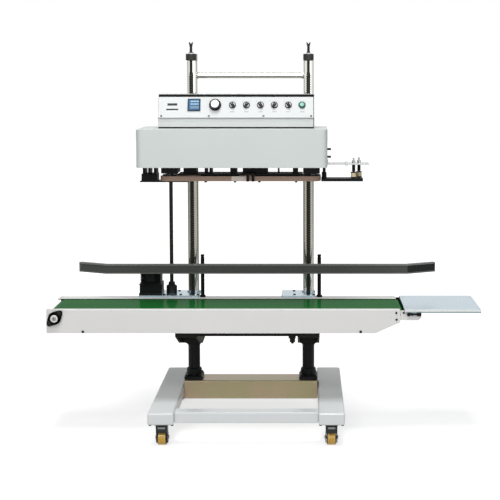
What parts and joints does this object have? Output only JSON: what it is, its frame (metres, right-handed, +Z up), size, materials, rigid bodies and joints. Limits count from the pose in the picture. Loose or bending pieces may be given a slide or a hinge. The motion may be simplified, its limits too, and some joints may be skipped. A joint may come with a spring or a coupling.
{
  "type": "vertical band sealer",
  "caption": "Floor-standing continuous band sealer: a sealing head on a screw lift between chromed columns, over a belt conveyor with guide rail and infeed plate, on castors.",
  "frame": {"origin": "on the floor, in the middle of the length of conveyor and infeed plate, and in the middle of the base's depth", "axes": "+X along the conveyor towards the infeed plate, +Y from the operator's side to the back, +Z up"},
  "size_m": [1.445, 0.68, 1.3353],
  "materials": {
    "head_grey": "semi-gloss pale grey powder coat with a green cast",
    "conveyor_grey": "semi-gloss pale grey paint",
    "base_grey": "satin pale grey paint",
    "passivated": "yellow-passivated zinc",
    "black_enamel": "satin black enamel",
    "chrome_plate": "polished",
    "dark_steel": "blackened and oiled",
    "bright_steel": "brushed",
    "belt_green": "smooth and glossy",
    "rail_grey": "satin dark grey",
    "band_brown": "slick coated glass cloth",
    "wheel_amber": "glossy amber",
    "panel_white": "satin white",
    "black_plastic": "moulded",
    "navy_plastic": "glossy",
    "green_plastic": "glossy",
    "roller_cream": "turned"
  },
  "bodies": {
    "base": {"base_beam_left": "base_grey", "base_beam_right": "base_grey", "base_front_bar": "base_grey", "base_rear_beam": "passivated", "pillar_left": "black_enamel", "pillar_right": "black_enamel", "column_left": "chrome_plate", "column_right": "chrome_plate", "top_collar_left": "bright_steel", "top_collar_right": "bright_steel", "cross_tube": "chrome_plate", "deck_plate_left": "bright_steel", "deck_plate_right": "bright_steel", "conveyor_frame": "conveyor_grey", "conveyor_belt": "belt_green", "flange_bearing": "dark_steel", "tail_bracket": "conveyor_grey", "extension_plate": "bright_steel", "rail_post_left": "dark_steel", "rail_post_right": "dark_steel", "drive_motor": "black_enamel", "lift_chain": "dark_steel"},
    "head": {"head_cover": "head_grey", "head_plate": "black_enamel", "control_box": "head_grey", "control_panel": "panel_white", "temp_controller": "navy_plastic", "band_front": "band_brown", "band_rear": "band_brown", "seal_blocks_front": "dark_steel", "seal_blocks_rear": "dark_steel", "infeed_arm": "dark_steel", "outfeed_guard": "dark_steel"},
    "drive_roller": {"drive_roller": "bright_steel"},
    "tail_roller": {"tail_roller": "bright_steel"},
    "drive_shaft": {"drive_shaft": "dark_steel"},
    "guide_rail": {"guide_rail": "rail_grey"},
    "lead_screw_left": {"lead_screw_left": "dark_steel"},
    "lead_screw_right": {"lead_screw_right": "dark_steel"},
    "castor_fork_front_left": {"castor_fork_front_left": "dark_steel"},
    "castor_fork_front_right": {"castor_fork_front_right": "dark_steel"},
    "castor_fork_rear_left": {"castor_fork_rear_left": "dark_steel"},
    "castor_fork_rear_right": {"castor_fork_rear_right": "dark_steel"},
    "castor_wheel_front_left": {"castor_wheel_front_left": "wheel_amber"},
    "castor_wheel_front_right": {"castor_wheel_front_right": "wheel_amber"},
    "castor_wheel_rear_left": {"castor_wheel_rear_left": "wheel_amber"},
    "castor_wheel_rear_right": {"castor_wheel_rear_right": "wheel_amber"},
    "band_wheel_front_left": {"band_wheel_front_left": "bright_steel"},
    "band_wheel_front_right": {"band_wheel_front_right": "bright_steel"},
    "band_wheel_rear_left": {"band_wheel_rear_left": "bright_steel"},
    "band_wheel_rear_right": {"band_wheel_rear_right": "bright_steel"},
    "infeed_roller_front": {"infeed_roller_front": "roller_cream"},
    "infeed_roller_rear": {"infeed_roller_rear": "roller_cream"},
    "speed_knob": {"speed_knob": "black_plastic"},
    "selector_1": {"selector_1": "black_plastic"},
    "selector_2": {"selector_2": "black_plastic"},
    "selector_3": {"selector_3": "black_plastic"},
    "selector_4": {"selector_4": "black_plastic"},
    "selector_5": {"selector_5": "black_plastic"},
    "start_button": {"start_button": "green_plastic"}
  },
  "joints": [
    {"name": "castor_swivel_front_left", "type": "hinge", "parent": "base", "child": "castor_fork_front_left", "pos_m": [-0.3355, -0.295, 0.0747], "axis": [0, 0, 1], "continuous": true},
    {"name": "castor_swivel_front_right", "type": "hinge", "parent": "base", "child": "castor_fork_front_right", "pos_m": [0.2245, -0.295, 0.0747], "axis": [0, 0, 1], "continuous": true},
    {"name": "castor_swivel_rear_left", "type": "hinge", "parent": "base", "child": "castor_fork_rear_left", "pos_m": [-0.3355, 0.295, 0.0747], "axis": [0, 0, 1], "continuous": true},
    {"name": "castor_swivel_rear_right", "type": "hinge", "parent": "base", "child": "castor_fork_rear_right", "pos_m": [0.2245, 0.295, 0.0747], "axis": [0, 0, 1], "continuous": true},
    {"name": "castor_roll_front_left", "type": "hinge", "parent": "castor_fork_front_left", "child": "castor_wheel_front_left", "pos_m": [-0.3355, -0.281, 0.025], "axis": [1, 0, 0], "continuous": true},
    {"name": "castor_roll_front_right", "type": "hinge", "parent": "castor_fork_front_right", "child": "castor_wheel_front_right", "pos_m": [0.2245, -0.281, 0.025], "axis": [1, 0, 0], "continuous": true},
    {"name": "castor_roll_rear_left", "type": "hinge", "parent": "castor_fork_rear_left", "child": "castor_wheel_rear_left", "pos_m": [-0.3355, 0.309, 0.025], "axis": [1, 0, 0], "continuous": true},
    {"name": "castor_roll_rear_right", "type": "hinge", "parent": "castor_fork_rear_right", "child": "castor_wheel_rear_right", "pos_m": [0.2245, 0.309, 0.025], "axis": [1, 0, 0], "continuous": true},
    {"name": "head_lift", "type": "slide", "parent": "base", "child": "head", "axis": [0, 0, 1], "range_m": [-0.24, 0.08]},
    {"name": "lead_screw_turn_left", "type": "hinge", "parent": "base", "child": "lead_screw_left", "pos_m": [-0.26, 0.0455, 0.3137], "axis": [0, 0, 1], "range_deg": [-3610, 10810]},
    {"name": "lead_screw_turn_right", "type": "hinge", "parent": "base", "child": "lead_screw_right", "pos_m": [0.149, 0.0455, 0.3137], "axis": [0, 0, 1], "range_deg": [-3610, 10810]},
    {"name": "drive_roller_turn", "type": "hinge", "parent": "base", "child": "drive_roller", "pos_m": [-0.694, 0, 0.4165], "axis": [0, 1, 0], "continuous": true},
    {"name": "tail_roller_turn", "type": "hinge", "parent": "base", "child": "tail_roller", "pos_m": [0.45, 0, 0.4265], "axis": [0, 1, 0], "continuous": true},
    {"name": "drive_shaft_turn", "type": "hinge", "parent": "base", "child": "drive_shaft", "pos_m": [-0.335, 0.057, 0], "axis": [0, 0, 1], "continuous": true},
    {"name": "guide_rail_slide", "type": "slide", "parent": "base", "child": "guide_rail", "axis": [0, 0, 1], "range_m": [-0.06, 0.03]},
    {"name": "band_wheel_turn_front_left", "type": "hinge", "parent": "head", "child": "band_wheel_front_left", "pos_m": [-0.316, -0.1568, 0.8845], "axis": [0, 0, 1], "continuous": true},
    {"name": "band_wheel_turn_front_right", "type": "hinge", "parent": "head", "child": "band_wheel_front_right", "pos_m": [0.159, -0.1568, 0.8845], "axis": [0, 0, 1], "continuous": true},
    {"name": "band_wheel_turn_rear_left", "type": "hinge", "parent": "head", "child": "band_wheel_rear_left", "pos_m": [-0.316, -0.0932, 0.8845], "axis": [0, 0, 1], "continuous": true},
    {"name": "band_wheel_turn_rear_right", "type": "hinge", "parent": "head", "child": "band_wheel_rear_right", "pos_m": [0.159, -0.0932, 0.8845], "axis": [0, 0, 1], "continuous": true},
    {"name": "infeed_roller_turn_front", "type": "hinge", "parent": "head", "child": "infeed_roller_front", "pos_m": [0.3007, -0.1385, 0.8753], "axis": [0, 0, 1], "continuous": true},
    {"name": "infeed_roller_turn_rear", "type": "hinge", "parent": "head", "child": "infeed_roller_rear", "pos_m": [0.3197, -0.1115, 0.8753], "axis": [0, 0, 1], "continuous": true},
    {"name": "speed_knob_turn", "type": "hinge", "parent": "head", "child": "speed_knob", "pos_m": [-0.165, -0.12614, 1.1201], "axis": [0, -0.9397, 0.342], "range_deg": [0, 270]},
    {"name": "selector_turn_1", "type": "hinge", "parent": "head", "child": "selector_1", "pos_m": [-0.107, -0.12614, 1.1201], "axis": [0, -0.9397, 0.342], "range_deg": [-60, 0]},
    {"name": "selector_turn_2", "type": "hinge", "parent": "head", "child": "selector_2", "pos_m": [-0.06, -0.12614, 1.1201], "axis": [0, -0.9397, 0.342], "range_deg": [0, 60]},
    {"name": "selector_turn_3", "type": "hinge", "parent": "head", "child": "selector_3", "pos_m": [-0.013, -0.12614, 1.1201], "axis": [0, -0.9397, 0.342], "range_deg": [-60, 0]},
    {"name": "selector_turn_4", "type": "hinge", "parent": "head", "child": "selector_4", "pos_m": [0.034, -0.12614, 1.1201], "axis": [0, -0.9397, 0.342], "range_deg": [0, 60]},
    {"name": "selector_turn_5", "type": "hinge", "parent": "head", "child": "selector_5", "pos_m": [0.081, -0.12614, 1.1201], "axis": [0, -0.9397, 0.342], "range_deg": [-60, 0]},
    {"name": "start_button_press", "type": "slide", "parent": "head", "child": "start_button", "axis": [0, 0.9397, -0.342], "range_m": [0, 0.003], "stiffness_N_per_m": 300}
  ],
  "couplings": [
    {"joint": "lead_screw_turn_left", "follows": "head_lift", "rad_per_m": -785.4},
    {"joint": "lead_screw_turn_right", "follows": "head_lift", "rad_per_m": -785.4},
    {"joint": "tail_roller_turn", "follows": "drive_roller_turn", "ratio": 1.6667},
    {"joint": "drive_shaft_turn", "follows": "drive_roller_turn", "ratio": 1},
    {"joint": "band_wheel_turn_front_left", "follows": "drive_roller_turn", "ratio": -0.83333},
    {"joint": "band_wheel_turn_front_right", "follows": "drive_roller_turn", "ratio": -0.83333},
    {"joint": "band_wheel_turn_rear_left", "follows": "drive_roller_turn", "ratio": 0.83333},
    {"joint": "band_wheel_turn_rear_right", "follows": "drive_roller_turn", "ratio": 0.83333}
  ]
}
